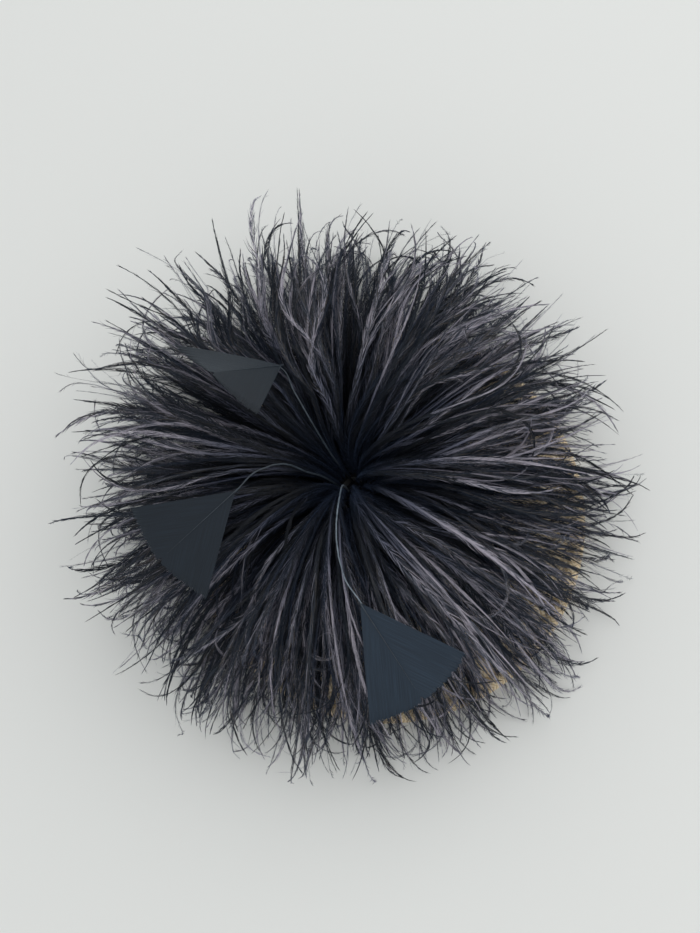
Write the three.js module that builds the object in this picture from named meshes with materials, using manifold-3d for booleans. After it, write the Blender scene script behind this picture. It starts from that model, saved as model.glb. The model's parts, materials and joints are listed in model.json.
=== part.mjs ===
// A cocktail headpiece: a round pouf of black ostrich flues and three arrow-cut quill feathers on a natural
// straw base, with a beak clip and a safety brooch pin under it. Millimetres, +Z up, standing on z = 0.
// The pouf's axis is the Z axis, and the straw base sits a little to one side of it.
import * as THREE from "three";
import { mergeVertices } from "three/addons/utils/BufferGeometryUtils.js";
import Module from "manifold-3d";

// Clearances
const GAP = 0.3; // between pieces that lie against each other
const RUNNING = 0.1; // round a pin in its hole
const BUNCH_GAP = 0.8; // between neighbouring bunches of flues

// Straw base: a shallow dome with a flat flange, a bound edge and a wire in the binding
const BASE_OFFSET = new THREE.Vector3(8, -10, 0);
const BASE_R = 79.5;
const FLANGE_W = 4.5;
const DOME_H = 14;
const STRAW_T = 2;
const BINDING_T = 0.8;
const BINDING_LEG = 3.4;
const WIRE_R = 0.6;
const LINING_T = 0.8;

// Felt pieces above and below the dome
const SEAT_R = 22;
const SEAT_T = 1.6;
const PAD_R = 26;
const PAD_T = 2.4;

// Core: a rolled tape that the flues and quills are sewn into, bound with thread
const TAPE_T = 2.5;
const TAPE_H = 8;
const TAPE_TURNS = 4;
const CORE_HOLE_R = 3.6;
const THREAD_R = 0.5;
const THREAD_TURNS = 5;

// Pouf: three tiers of flue bunches. A tier's root is beside the core's hole and its reach is the pouf's radius
// less inset. Its arch is a centreline of [share of the way out, height above the core, half thickness].
const BUNCHES = 8;
const SKIRT_W = 13.1; // how far the pouf stands out past the base
const SKIRT_TIP = [1.5, 2]; // height above the table and half thickness of the lowest flues' tips
const UPPER = {
  root: 3.8,
  inset: 18,
  arch: [[0, 0.7, 1.2], [0.08, 25, 4.4], [0.25, 43, 7.5], [0.52, 50, 8.5], [0.78, 46, 7], [1, 34, 2.5]],
};
const MIDDLE = {
  root: 7,
  inset: 4,
  arch: [[0, 1.3, 1.4], [0.13, 16, 5.5], [0.38, 29, 8.5], [0.66, 26, 8.5], [0.88, 16, 6.6], [1, 6, 2.3]],
};
const LOWER = {
  root: 12.4,
  inset: 0,
  arch: [[0, 1.6, 1.0], [0.17, 3, 4], [0.48, 4.5, 7.4], [0.76, 0, 7.6], [0.935, -11, 5]],
};

// Arrow feathers: a bare quill that leaves the core, arches over the pouf and carries a three-cornered vane.
// azimuth, radius and lift over the pouf's top place the vane's point, heading is where it points, pitch and
// roll tip it.
const QUILL_R = 0.4;
const VANE_L = 37;
const VANE_W = 42;
const VANE_T = 0.5;
// The pitch, in degrees, from which a vane counts as standing up
const STANDING = 45;
const ARROWS = [
  { azimuth: -76, radius: 54.5, lift: 6.4, heading: -57, pitch: 2.5, roll: 14 },
  { azimuth: 208, radius: 32, lift: 16.2, heading: 216, pitch: -16, roll: -12 },
  { azimuth: 116, radius: 37, lift: 1.6, heading: 216, pitch: 59, roll: 14 },
];

// Beak clip: a fixed upper jaw on the felt and a sprung lower jaw
const CLIP_Y = 10;
const JAW_L = 32;
const LEVER_L = 12;
const CLIP_W = 8;
const SHEET_T = 0.8;
const EAR_T = 0.7;
const CLIP_PIN_R = 0.8;
const CLIP_DROP = 2.7; // from the upper jaw's underside to the hinge
const PIN_HEAD = 0.6; // how far a pin's head stands out round its shank
const COIL_CLEARANCE = 0.5; // between the spring's coil and the pin
const TEETH = 6;
const TOOTH_L = 1.8;
const TOOTH_H = 0.6;
const SPRING_WIRE_R = 0.3;
const SPRING_TURNS = 3.5;

// Brooch: a bar sewn to the felt, a hinged pin stem and a turning safety catch
const BROOCH_Y = -10;
const BAR_L = 36;
const BAR_W = 5;
const BROOCH_DROP = 3.4; // from the bar's underside to the stem
const STEM_R = 0.5;
const RIVET_R = 0.6;
const EYE_R = 1.5;
const EYE_W = 1.2;
const CATCH_SLOT = 1.6;
const SLEEVE_R = 1.0;
const SLEEVE_T = 0.6;
const HOUSING_T = 0.7;
const HOUSING_L = 2.4;
const STITCH_R = 0.35;

// Facets round the base, round the small fittings and along the dome's arc
const BASE_FACETS = 40;
const SMALL_FACETS = 24;
const ARC_STEPS = 5;
const WIRE_SIDES = 6;

// Sizes that follow from the ones above
const flangeBottom = BINDING_T + GAP;
const flangeTop = flangeBottom + STRAW_T;
const domeR = BASE_R - FLANGE_W;
const domeSphereR = (domeR ** 2 + DOME_H ** 2) / (2 * DOME_H);
const domeTop = flangeTop + DOME_H;
const domeCentreZ = domeTop - domeSphereR;
const seatTop = domeTop + GAP + SEAT_T;
const coreBottom = seatTop + GAP;
const coreTop = coreBottom + TAPE_H;
const liningOuterR = domeSphereR - STRAW_T - GAP;
const liningInnerR = liningOuterR - LINING_T;
const bindingInnerR = BASE_R + 2 * GAP + 2 * WIRE_R;
const bindingOuterR = bindingInnerR + BINDING_T;
const poufR = BASE_OFFSET.length() + bindingOuterR + SKIRT_W;
const poufTop = coreTop + Math.max(...UPPER.arch.map(([, z, t]) => z + t));
const padOuterR = liningInnerR - GAP;
const padBottom = domeCentreZ + padOuterR - PAD_T;
const fittingTop = padBottom - GAP;
const sheetBottom = fittingTop - SHEET_T;
const springR = CLIP_PIN_R + COIL_CLEARANCE + SPRING_WIRE_R;

const wasm = await Module();
wasm.setup();

const COLOURS = {
  straw: ["#d8bb8c", 0.7, 0],
  feather: ["#16181d", 0.9, 0],
  vane: ["#28303a", 0.8, 0],
  quill: ["#5d6873", 0.5, 0],
  satin: ["#17171c", 0.4, 0],
  felt: ["#1b1c21", 1, 0],
  thread: ["#101115", 0.8, 0],
  steel: ["#b9bcc0", 0.3, 1],
};
const headpiece = new THREE.Group();

// Adds a named piece in one of the materials above
function add(name, geometry, colour, parent = headpiece) {
  const [color, roughness, metalness] = COLOURS[colour];
  const material = new THREE.MeshStandardMaterial({ color, roughness, metalness });
  const mesh = new THREE.Mesh(outward(geometry), material);
  mesh.name = name;
  parent.add(mesh);
  return mesh;
}

// Merges shared corners, drops triangles with no area and turns the faces outwards
function outward(source) {
  const bare = source.clone();
  bare.deleteAttribute("normal");
  bare.deleteAttribute("uv");
  const geometry = mergeVertices(bare, 1e-4);
  const index = geometry.index.array;
  const place = geometry.attributes.position;
  const corners = [new THREE.Vector3(), new THREE.Vector3(), new THREE.Vector3()];
  const kept = [];
  let volume = 0;
  for (let i = 0; i < index.length; i += 3) {
    const [a, b, c] = [index[i], index[i + 1], index[i + 2]];
    if (a === b || b === c || a === c) continue;
    kept.push(a, b, c);
    corners.forEach((corner, k) => corner.fromBufferAttribute(place, index[i + k]));
    volume += corners[0].dot(corners[1].clone().cross(corners[2]));
  }
  if (volume < 0) {
    kept.reverse();
  }
  geometry.setIndex(kept);
  geometry.computeVertexNormals();
  return geometry;
}

function toSolid(geometry) {
  const clean = outward(geometry);
  return new wasm.Manifold(new wasm.Mesh({
    numProp: 3,
    vertProperties: new Float32Array(clean.attributes.position.array),
    triVerts: new Uint32Array(clean.index.array),
  }));
}

function toGeometry(solid) {
  const mesh = solid.getMesh();
  const geometry = new THREE.BufferGeometry();
  geometry.setAttribute("position", new THREE.BufferAttribute(mesh.vertProperties, 3));
  geometry.setIndex(new THREE.BufferAttribute(mesh.triVerts, 1));
  return geometry;
}

function join(...pieces) {
  return toGeometry(pieces.map(toSolid).reduce((whole, piece) => whole.add(piece)));
}

function cut(body, ...tools) {
  return toGeometry(tools.map(toSolid).reduce((whole, tool) => whole.subtract(tool), toSolid(body)));
}

// A profile of [radius, height] points turned round the Z axis
function lathe(profile, segments = BASE_FACETS) {
  const points = profile.map(([r, z]) => new THREE.Vector2(r, z));
  return new THREE.LatheGeometry(points, segments).rotateX(Math.PI / 2);
}

// A closed ring of rectangular section round the Z axis
function ring(inner, outer, low, high, segments = 20) {
  return lathe([[inner, low], [outer, low], [outer, high], [inner, high], [inner, low]], segments);
}

// A flat outline of [x, y] points given a thickness along Z from low to high
function slab(outline, low, high) {
  const shape = new THREE.Shape(outline.map(([x, y]) => new THREE.Vector2(x, y)));
  const geometry = new THREE.ExtrudeGeometry(shape, { depth: high - low, bevelEnabled: false });
  return geometry.translate(0, 0, low);
}

// An outline of [x, z] points given a width along Y, centred on middle
function sideSlab(outline, width, middle = 0) {
  const geometry = slab(outline.map(([x, z]) => [x, -z]), -width / 2, width / 2);
  return geometry.rotateX(-Math.PI / 2).translate(0, middle, 0);
}

function box(low, high) {
  const size = high.map((value, k) => value - low[k]);
  const middle = high.map((value, k) => (value + low[k]) / 2);
  return new THREE.BoxGeometry(...size).translate(...middle);
}

// A round bar along Y
function crossBar(radius, length, segments = 16) {
  return new THREE.CylinderGeometry(radius, radius, length, segments);
}

// A round thread, wire or quill along a curve
function wire(curve, radius, steps, sides = WIRE_SIDES) {
  const corners = [];
  for (let k = 0; k < sides; k++) {
    const turn = (2 * Math.PI * k) / sides;
    corners.push(new THREE.Vector2(radius * Math.cos(turn), radius * Math.sin(turn)));
  }
  const section = new THREE.Shape(corners);
  return new THREE.ExtrudeGeometry(section, { steps, bevelEnabled: false, extrudePath: curve });
}

function smoothCurve(points) {
  return new THREE.CatmullRomCurve3(points.map((p) => new THREE.Vector3(...p)));
}

// [radius, height] points on a sphere about the dome's centre, from the axis out to reach
function domeArc(sphereR, reach, steps = ARC_STEPS) {
  const points = [];
  for (let k = 0; k <= steps; k++) {
    const r = (reach * k) / steps;
    points.push([r, domeCentreZ + Math.sqrt(sphereR ** 2 - r ** 2)]);
  }
  return points;
}

function strawBase() {
  const innerR = domeSphereR - STRAW_T;
  const innerReach = Math.sqrt(innerR ** 2 - (flangeBottom - domeCentreZ) ** 2);
  return lathe([
    ...domeArc(innerR, innerReach),
    [BASE_R, flangeBottom],
    [BASE_R, flangeTop],
    ...domeArc(domeSphereR, domeR).reverse(),
  ]);
}

// The fold of straw braid over the flange: two legs and a web, open towards the middle
function edgeBinding() {
  const legInner = BASE_R - BINDING_LEG;
  const top = flangeTop + GAP + BINDING_T;
  return lathe([
    [legInner, 0],
    [bindingOuterR, 0],
    [bindingOuterR, top],
    [legInner, top],
    [legInner, top - BINDING_T],
    [bindingInnerR, top - BINDING_T],
    [bindingInnerR, BINDING_T],
    [legInner, BINDING_T],
    [legInner, 0],
  ]);
}

function brimWire() {
  const middle = BASE_R + GAP + WIRE_R;
  const profile = [];
  const height = (flangeBottom + flangeTop) / 2;
  for (let k = 0; k <= WIRE_SIDES; k++) {
    const turn = (2 * Math.PI * (k % WIRE_SIDES)) / WIRE_SIDES;
    profile.push([middle + WIRE_R * Math.cos(turn), height + WIRE_R * Math.sin(turn)]);
  }
  return lathe(profile);
}

function lining() {
  const outerReach = BASE_R - BINDING_LEG - 2 * GAP - 1;
  const innerReach = outerReach - 0.4;
  return lathe([...domeArc(liningInnerR, innerReach), ...domeArc(liningOuterR, outerReach).reverse()]);
}

// Felt under the dome: its top follows the lining and its underside is flat
function mountPad() {
  return lathe([[0, padBottom], [PAD_R, padBottom], ...domeArc(padOuterR, PAD_R, 2).reverse()], SMALL_FACETS);
}

// Felt on top of the dome: its top is flat and its underside follows the straw
function featherSeat() {
  const blank = new THREE.CylinderGeometry(SEAT_R, SEAT_R, 6, SMALL_FACETS).rotateX(Math.PI / 2);
  blank.translate(0, 0, seatTop - 3);
  const reach = SEAT_R + BASE_OFFSET.length() + 5;
  const dome = lathe([[0, 0], [reach, 0], ...domeArc(domeSphereR + GAP, reach).reverse()]);
  return cut(blank, dome.translate(BASE_OFFSET.x, BASE_OFFSET.y, 0));
}

// The inner face of the tape's first turn, which the quills stand against
function tapeInner(turn) {
  return CORE_HOLE_R + ((TAPE_T + GAP) * turn) / (2 * Math.PI);
}

function coreTape() {
  const steps = TAPE_TURNS * 14;
  const inside = [];
  const outside = [];
  for (let k = 0; k <= steps; k++) {
    const turn = (2 * Math.PI * TAPE_TURNS * k) / steps;
    const r = tapeInner(turn);
    inside.push([r * Math.cos(turn), r * Math.sin(turn)]);
    outside.push([(r + TAPE_T) * Math.cos(turn), (r + TAPE_T) * Math.sin(turn)]);
  }
  return slab([...outside, ...inside.reverse()], coreBottom, coreTop);
}

// Thread wound round the tape, turn on turn, as one band with a ridge for each turn
function threadBinding() {
  const inner = tapeInner(2 * Math.PI * TAPE_TURNS) + TAPE_T + GAP;
  const low = coreBottom + 1;
  const profile = [[inner, low]];
  for (let k = 0; k < THREAD_TURNS; k++) {
    const z = low + 2 * THREAD_R * k;
    profile.push([inner + THREAD_R, z], [inner + 2 * THREAD_R, z + THREAD_R]);
  }
  const high = low + 2 * THREAD_R * THREAD_TURNS;
  profile.push([inner + THREAD_R, high], [inner, high], [inner, low]);
  return lathe(profile, SMALL_FACETS);
}

// The closed outline of one tier: its centreline with the half thickness laid off on both sides
function tierProfile({ root, inset, arch }) {
  const rootR = CORE_HOLE_R + root;
  const out = (share) => rootR + share * (poufR - inset - rootR);
  const middle = new THREE.SplineCurve(arch.map(([share, z]) => new THREE.Vector2(out(share), coreTop + z)));
  const half = new THREE.SplineCurve(arch.map(([, , t], k) => new THREE.Vector2(k, t)));
  const steps = 7;
  const upper = [];
  const under = [];
  for (let k = 0; k <= steps; k++) {
    const point = middle.getPoint(k / steps);
    const along = middle.getTangent(k / steps);
    const t = half.getPoint(k / steps).y;
    upper.push([point.x - along.y * t, point.y + along.x * t]);
    under.push([point.x + along.y * t, point.y - along.x * t]);
  }
  return [...under, ...upper.reverse(), under[0]];
}

// Everything within half a sector of the given direction, less half the gap between bunches
function sector(middle, half) {
  const inset = BUNCH_GAP / 2 / Math.sin(half);
  const reach = 2 * poufR;
  const outline = [
    [inset, 0],
    [inset + reach * Math.cos(half), -reach * Math.sin(half)],
    [inset + reach * Math.cos(half), reach * Math.sin(half)],
  ];
  return slab(outline, -reach, reach).rotateZ(middle);
}

function tier(name, shape, firstTurn) {
  const half = Math.PI / BUNCHES;
  const whole = toSolid(lathe(tierProfile(shape), SMALL_FACETS));
  for (let k = 0; k < BUNCHES; k++) {
    const middle = firstTurn + 2 * half * k;
    const bunch = whole.intersect(toSolid(sector(middle, half)));
    add(`${name}_${k + 1}`, toGeometry(bunch), "feather");
  }
}

// The vane's own frame: its point at the origin, the rachis along X and the face up along Z
function vaneFrame({ azimuth, radius, lift, heading, pitch, roll }) {
  const turn = new THREE.Euler(
    THREE.MathUtils.degToRad(roll), THREE.MathUtils.degToRad(-pitch), THREE.MathUtils.degToRad(heading), "ZYX");
  const frame = new THREE.Matrix4().makeRotationFromEuler(turn);
  const around = THREE.MathUtils.degToRad(azimuth);
  return frame.setPosition(radius * Math.cos(around), radius * Math.sin(around), poufTop + lift);
}

function vane() {
  const half = VANE_W / 2;
  const outline = [
    [0, 0.5],
    [0, -0.5],
    [VANE_L * 0.5, -half * 0.55],
    [VANE_L - 2, -half],
    [VANE_L + 1, -half * 0.5],
    [VANE_L + 2, 0],
    [VANE_L + 1, half * 0.5],
    [VANE_L - 2, half],
    [VANE_L * 0.5, half * 0.55],
  ];
  return slab(outline, -VANE_T / 2, VANE_T / 2);
}

// From beside the innermost turn of tape, up the hollow, over the pouf and along under the vane.
// A vane that stands up is met level, from the side, and any other from behind along its rachis.
function quill(arrow, frame) {
  const around = THREE.MathUtils.degToRad(arrow.azimuth);
  const out = (r, z) => [r * Math.cos(around), r * Math.sin(around), z];
  const under = -(VANE_T / 2 + GAP + QUILL_R);
  const along = (x) => new THREE.Vector3(x, 0, under).applyMatrix4(frame).toArray();
  const rootR = tapeInner((around + 4 * Math.PI) % (2 * Math.PI)) - GAP - QUILL_R;
  const rise = poufTop + arrow.lift - coreTop;
  const behind = VANE_L * 0.3;
  const approach = arrow.pitch > STANDING ? out(arrow.radius - behind, coreTop + rise) : along(-behind);
  return wire(smoothCurve([
    out(rootR, coreBottom + 1),
    out(rootR, coreTop + 1),
    out(rootR + 0.6, coreTop + 0.3 * rise),
    out(rootR + 3.5, coreTop + 0.6 * rise),
    out(rootR + 12, coreTop + 0.88 * rise),
    approach,
    along(0),
    along(VANE_L * 0.45),
    along(VANE_L * 0.9),
  ]), QUILL_R, 22);
}

function arrowFeathers() {
  ARROWS.forEach((arrow, k) => {
    const frame = vaneFrame(arrow);
    const web = add(`arrow_vane_${k + 1}`, vane(), "vane");
    web.applyMatrix4(frame);
    add(`arrow_quill_${k + 1}`, quill(arrow, frame), "quill");
  });
}

// A bent sheet: a centreline of [x, z] points with half the sheet laid off on both sides
function bentSheet(points, thickness) {
  const upper = [];
  const under = [];
  points.forEach(([x, z], k) => {
    const before = points[Math.max(k - 1, 0)];
    const after = points[Math.min(k + 1, points.length - 1)];
    const along = new THREE.Vector2(after[0] - before[0], after[1] - before[1]).normalize();
    const t = thickness / 2;
    upper.push([x - along.y * t, z + along.x * t]);
    under.push([x + along.y * t, z - along.x * t]);
  });
  return { upper, under };
}

// An ear beside the hinge: a round end about the hinge and a shank to the sheet at the given height
function ear(radius, height, thickness, middle) {
  const side = Math.sign(height);
  const outline = [];
  for (let k = 0; k <= 10; k++) {
    const turn = (Math.PI * k) / 10;
    outline.push([radius * Math.cos(turn), -side * radius * Math.sin(turn)]);
  }
  outline.push([-radius, height], [radius, height]);
  return sideSlab(outline, thickness, middle);
}

// The clip's pieces are made about its hinge, which runs along Y
function clipUpperJaw() {
  const half = CLIP_W / 2;
  const plate = slab([
    [-LEVER_L, -half],
    [JAW_L * 0.55, -half],
    [JAW_L - 1, -half * 0.45],
    [JAW_L, -half * 0.25],
    [JAW_L, half * 0.25],
    [JAW_L - 1, half * 0.45],
    [JAW_L * 0.55, half],
    [-LEVER_L, half],
  ], CLIP_DROP, CLIP_DROP + SHEET_T);
  const ears = [-1, 1].map((side) => ear(2, CLIP_DROP + SHEET_T / 2, EAR_T, side * (half - EAR_T / 2)));
  return cut(join(plate, ...ears), crossBar(CLIP_PIN_R + RUNNING, CLIP_W + 4));
}

function clipLowerJaw() {
  const width = CLIP_W - 2 * EAR_T - 2 * GAP;
  const tipZ = CLIP_DROP - GAP - SHEET_T / 2 - TOOTH_H - 0.1;
  const sheet = bentSheet([[-LEVER_L, -5.5], [-2, -3.3], [2, -3.1], [JAW_L, tipZ]], SHEET_T);
  const teeth = [];
  for (let k = 0; k < TEETH; k++) {
    const x = JAW_L - 0.3 - TOOTH_L * k;
    const z = (at) => THREE.MathUtils.mapLinear(at, 2, JAW_L, -3.1, tipZ) + SHEET_T / 2;
    teeth.push([x, z(x)], [x - TOOTH_L * 0.3, z(x) + TOOTH_H], [x - TOOTH_L, z(x - TOOTH_L)]);
  }
  const [end, bend, hip] = sheet.upper;
  const jaw = sideSlab([...sheet.under, sheet.upper[3], ...teeth, hip, bend, end], width);
  const earMiddle = (width - EAR_T) / 2;
  const ears = [-1, 1].map((side) => ear(1.8, -3.2, EAR_T, side * earMiddle));
  return cut(join(jaw, ...ears), crossBar(CLIP_PIN_R + RUNNING, CLIP_W + 4));
}

// A pin with a flat head at each end
function headedPin(radius, span, headT) {
  const shank = crossBar(radius, span + 2 * headT);
  const heads = [-1, 1].map((side) => {
    return crossBar(radius + PIN_HEAD, headT).translate(0, side * (span / 2 + headT / 2 + RUNNING), 0);
  });
  return join(shank, ...heads);
}

// A torsion spring round the hinge: one leg under the upper jaw, one on the lower jaw's lever
function clipSpring() {
  const pitch = 2 * SPRING_WIRE_R + 0.2;
  const startY = (-pitch * SPRING_TURNS) / 2;
  const legTop = CLIP_DROP - GAP - SPRING_WIRE_R;
  const points = [[-8, startY, legTop], [-4, startY, (legTop + springR) / 2]];
  const steps = SPRING_TURNS * 10;
  for (let k = 0; k <= steps; k++) {
    const turn = Math.PI / 2 - (2 * Math.PI * SPRING_TURNS * k) / steps;
    const y = startY + (pitch * SPRING_TURNS * k) / steps;
    points.push([springR * Math.cos(turn), y, springR * Math.sin(turn)]);
  }
  points.push([-4, -startY, -2.4], [-8, -startY, -3.55]);
  return wire(smoothCurve(points), SPRING_WIRE_R, 46, 5);
}

// The brooch's pieces are made about the stem's pivot, which runs along Y
const catchX = BAR_L - 6;
const housingInner = SLEEVE_R + SLEEVE_T + GAP;

// Takes a slot downwards out of a ring round the X axis
function slotted(geometry, reach, length) {
  const slot = box([-length, -CATCH_SLOT / 2, -reach], [length, CATCH_SLOT / 2, 0]);
  return cut(geometry, slot);
}

function broochBar() {
  const low = BROOCH_DROP;
  const high = BROOCH_DROP + SHEET_T;
  const bar = box([-2, -BAR_W / 2, low], [BAR_L - 2, BAR_W / 2, high]);
  const earMiddle = EYE_W / 2 + GAP + EAR_T / 2;
  const ears = [-1, 1].map((side) => ear(1.6, (low + high) / 2, EAR_T, side * earMiddle));
  const knuckle = cut(join(bar, ...ears), crossBar(RIVET_R + RUNNING, BAR_W));
  const outer = housingInner + HOUSING_T;
  const hoop = ring(housingInner, outer, -HOUSING_L / 2, HOUSING_L / 2, 24).rotateY(Math.PI / 2);
  const housing = slotted(hoop, outer + 1, HOUSING_L).translate(catchX, 0, 0);
  const [start, end] = [catchX - HOUSING_L / 2, catchX + HOUSING_L / 2];
  const neck = box([start, -1.2, housingInner + 0.3], [end, 1.2, high - 0.2]);
  return join(knuckle, neck, housing);
}

function broochStem() {
  const eye = cut(crossBar(EYE_R, EYE_W), crossBar(RIVET_R + RUNNING, EYE_W + 2));
  const tip = catchX + 4.5;
  const start = (RIVET_R + RUNNING + EYE_R) / 2;
  const shaft = lathe([[0, start], [STEM_R, start], [STEM_R, tip - 4], [0.12, tip], [0, tip]], 12);
  return join(eye, shaft.rotateY(Math.PI / 2));
}

// A slotted sleeve that turns in the catch's hoop, with a collar each side and a tab to turn it by
function catchSleeve() {
  const outer = SLEEVE_R + SLEEVE_T;
  const collarR = housingInner + 0.5;
  const inside = HOUSING_L / 2 + GAP;
  const end = inside + 0.6;
  const sleeve = lathe([
    [SLEEVE_R, -end],
    [collarR, -end],
    [collarR, -inside],
    [outer, -inside],
    [outer, inside],
    [collarR, inside],
    [collarR, end],
    [SLEEVE_R, end],
    [SLEEVE_R, -end],
  ], 24).rotateY(Math.PI / 2);
  const tab = box([inside, collarR - 0.4, -0.4], [end, BROOCH_DROP - GAP, 0.4]);
  return slotted(join(sleeve, tab), collarR + 1, end + 1).translate(catchX, 0, 0);
}

// A stitch over the bar, down into the felt on both sides
function barStitch() {
  const side = BAR_W / 2 + GAP + STITCH_R + 0.1;
  const low = -SHEET_T - GAP - STITCH_R;
  return wire(smoothCurve([
    [0, -side, GAP - 0.1],
    [0, -side, -SHEET_T * 0.7],
    [0, -side + 0.9, low - 0.1],
    [0, 0, low - 0.1],
    [0, side - 0.9, low - 0.1],
    [0, side, -SHEET_T * 0.7],
    [0, side, GAP - 0.1],
  ]), STITCH_R, 10, 5);
}

// Base
const base = new THREE.Group();
base.position.copy(BASE_OFFSET);
headpiece.add(base);
add("straw_base", strawBase(), "straw", base);
add("edge_binding", edgeBinding(), "straw", base);
add("brim_wire", brimWire(), "steel", base);
add("satin_lining", lining(), "satin", base);
add("mount_pad", mountPad(), "felt", base);

// Core and pouf
add("feather_seat", featherSeat(), "felt");
add("core_tape", coreTape(), "satin");
add("thread_binding", threadBinding(), "thread");
const skirtTip = [1, SKIRT_TIP[0] - coreTop, SKIRT_TIP[1]];
tier("upper_flues", UPPER, Math.PI / BUNCHES);
tier("middle_flues", MIDDLE, 0);
tier("lower_flues", { ...LOWER, arch: [...LOWER.arch, skirtTip] }, Math.PI / BUNCHES);
arrowFeathers();

// Clip, hinged about Y
const clip = new THREE.Group();
clip.position.set((LEVER_L - JAW_L) / 2, CLIP_Y, sheetBottom - CLIP_DROP);
base.add(clip);
add("clip_upper_jaw", clipUpperJaw(), "steel", clip);
add("clip_lower_jaw", clipLowerJaw(), "steel", clip);
add("clip_hinge_pin", headedPin(CLIP_PIN_R, CLIP_W, 0.5), "steel", clip);
add("clip_spring", clipSpring(), "steel", clip);

// Brooch, hinged about Y
const brooch = new THREE.Group();
brooch.position.set(2 - BAR_L / 2, BROOCH_Y, sheetBottom - BROOCH_DROP);
base.add(brooch);
add("brooch_bar", broochBar(), "steel", brooch);
add("brooch_stem", broochStem(), "steel", brooch);
add("brooch_rivet", headedPin(RIVET_R, EYE_W + 2 * GAP + 2 * EAR_T, 0.4), "steel", brooch);
add("catch_sleeve", catchSleeve(), "steel", brooch);
[-7, 7].forEach((x, k) => {
  add(`bar_stitch_${k + 1}`, barStitch(), "thread", base).position.set(x, BROOCH_Y, fittingTop);
});

export default headpiece;
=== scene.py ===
# %% [markdown]
# # A feather pouf headpiece
# The object is a cocktail headpiece: a round pouf of black ostrich flues with three arrow-cut feathers, sewn
# to a natural straw base, with a clip and a brooch pin under it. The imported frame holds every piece's place
# and the joints. This lesson builds the pieces that the eye sees around it: feathers as thousands of thin
# blades, straw as stitched braid, and small pressed-metal fittings.

# %% Load the frame
import json
import math

import bmesh
import bpy
import numpy as np
from mathutils import Matrix, Vector

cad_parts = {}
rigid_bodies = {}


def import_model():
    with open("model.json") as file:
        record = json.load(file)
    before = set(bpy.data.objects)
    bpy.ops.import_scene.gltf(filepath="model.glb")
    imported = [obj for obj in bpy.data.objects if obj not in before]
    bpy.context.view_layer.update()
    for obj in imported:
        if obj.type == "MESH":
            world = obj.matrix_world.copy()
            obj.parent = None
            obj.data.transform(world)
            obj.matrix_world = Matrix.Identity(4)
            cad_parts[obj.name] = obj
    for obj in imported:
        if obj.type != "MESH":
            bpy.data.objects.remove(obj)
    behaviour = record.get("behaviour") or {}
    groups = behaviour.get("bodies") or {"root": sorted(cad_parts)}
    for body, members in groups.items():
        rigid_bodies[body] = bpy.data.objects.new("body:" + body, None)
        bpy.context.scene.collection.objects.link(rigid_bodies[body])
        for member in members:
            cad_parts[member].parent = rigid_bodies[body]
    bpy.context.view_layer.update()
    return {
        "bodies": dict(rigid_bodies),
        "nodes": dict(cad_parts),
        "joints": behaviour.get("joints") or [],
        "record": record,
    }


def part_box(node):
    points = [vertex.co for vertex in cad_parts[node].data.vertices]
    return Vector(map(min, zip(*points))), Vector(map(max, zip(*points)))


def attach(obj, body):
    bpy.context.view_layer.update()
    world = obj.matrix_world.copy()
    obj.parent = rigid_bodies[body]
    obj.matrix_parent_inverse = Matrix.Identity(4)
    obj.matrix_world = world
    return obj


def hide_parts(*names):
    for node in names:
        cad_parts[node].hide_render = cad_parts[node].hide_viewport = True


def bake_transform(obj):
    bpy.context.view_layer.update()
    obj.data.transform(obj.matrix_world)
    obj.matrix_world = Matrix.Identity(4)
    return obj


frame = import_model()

MM = 0.001

# %% [markdown]
# ## Camera
# The camera looks down on the pouf from a little to one side. A camera in Blender looks along its own -Z with
# +Y up, so its matrix is made from three directions: right, up and back. It could also be aimed by a Track To
# constraint, but a matrix keeps world +Y as the picture's up, which is how the headpiece lies on the table.

# %% Aim the camera
CAMERA_LENS = 47
CAMERA_DISTANCE = 0.47
CAMERA_TILT = math.radians(15.8)
CAMERA_SIDE = Vector((0.63, -0.78, 0)).normalized()
aim = Vector((0.0011, 0.0048, 0.044))

back = CAMERA_SIDE * math.sin(CAMERA_TILT) + Vector((0, 0, math.cos(CAMERA_TILT)))
right = Vector((0, 1, 0)).cross(back).normalized()
up = back.cross(right)
camera = bpy.data.objects.new("camera", bpy.data.cameras.new("camera"))
camera.data.lens = CAMERA_LENS
camera.data.clip_start = 0.01
bpy.context.collection.objects.link(camera)
turn = Matrix((right, up, back)).transposed().to_4x4()
camera.matrix_world = Matrix.Translation(aim + back * CAMERA_DISTANCE) @ turn
bpy.context.scene.camera = camera
print("camera stands", round(CAMERA_DISTANCE * 1000), "mm from the pouf")

# %% [markdown]
# ## Colour and nodes
# Colours are written as the sRGB hex values that a paint program shows, and one function turns them to the
# linear light that a shader works in. One more function adds a shader node with its settings and its links,
# so that a material reads as a short list.

# %% Helpers for materials
def linear(hex_colour):
    """Linear RGBA from an sRGB hex text such as '#d9c09a'."""
    values = [int(hex_colour[k:k + 2], 16) / 255 for k in (1, 3, 5)]
    return [v / 12.92 if v <= 0.04045 else ((v + 0.055) / 1.055) ** 2.4 for v in values] + [1.0]


def add_node(material, kind, settings=None, links=None):
    """Adds a node of a kind. Settings go on the node, or on a socket where the node has no such setting."""
    node = material.node_tree.nodes.new(kind)
    for name, value in (settings or {}).items():
        if hasattr(node, str(name)):
            setattr(node, name, value)
        else:
            node.inputs[name].default_value = value
    for name, source in (links or {}).items():
        material.node_tree.links.new(source, node.inputs[name])
    return node


def new_material(name, **sockets):
    """A material with a bare Principled shader; sockets are its uniform values."""
    material = bpy.data.materials.new(name)
    material.use_nodes = True
    shader = material.node_tree.nodes["Principled BSDF"]
    for socket, value in sockets.items():
        shader.inputs[socket.replace("_", " ")].default_value = value
    return material, shader


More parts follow.
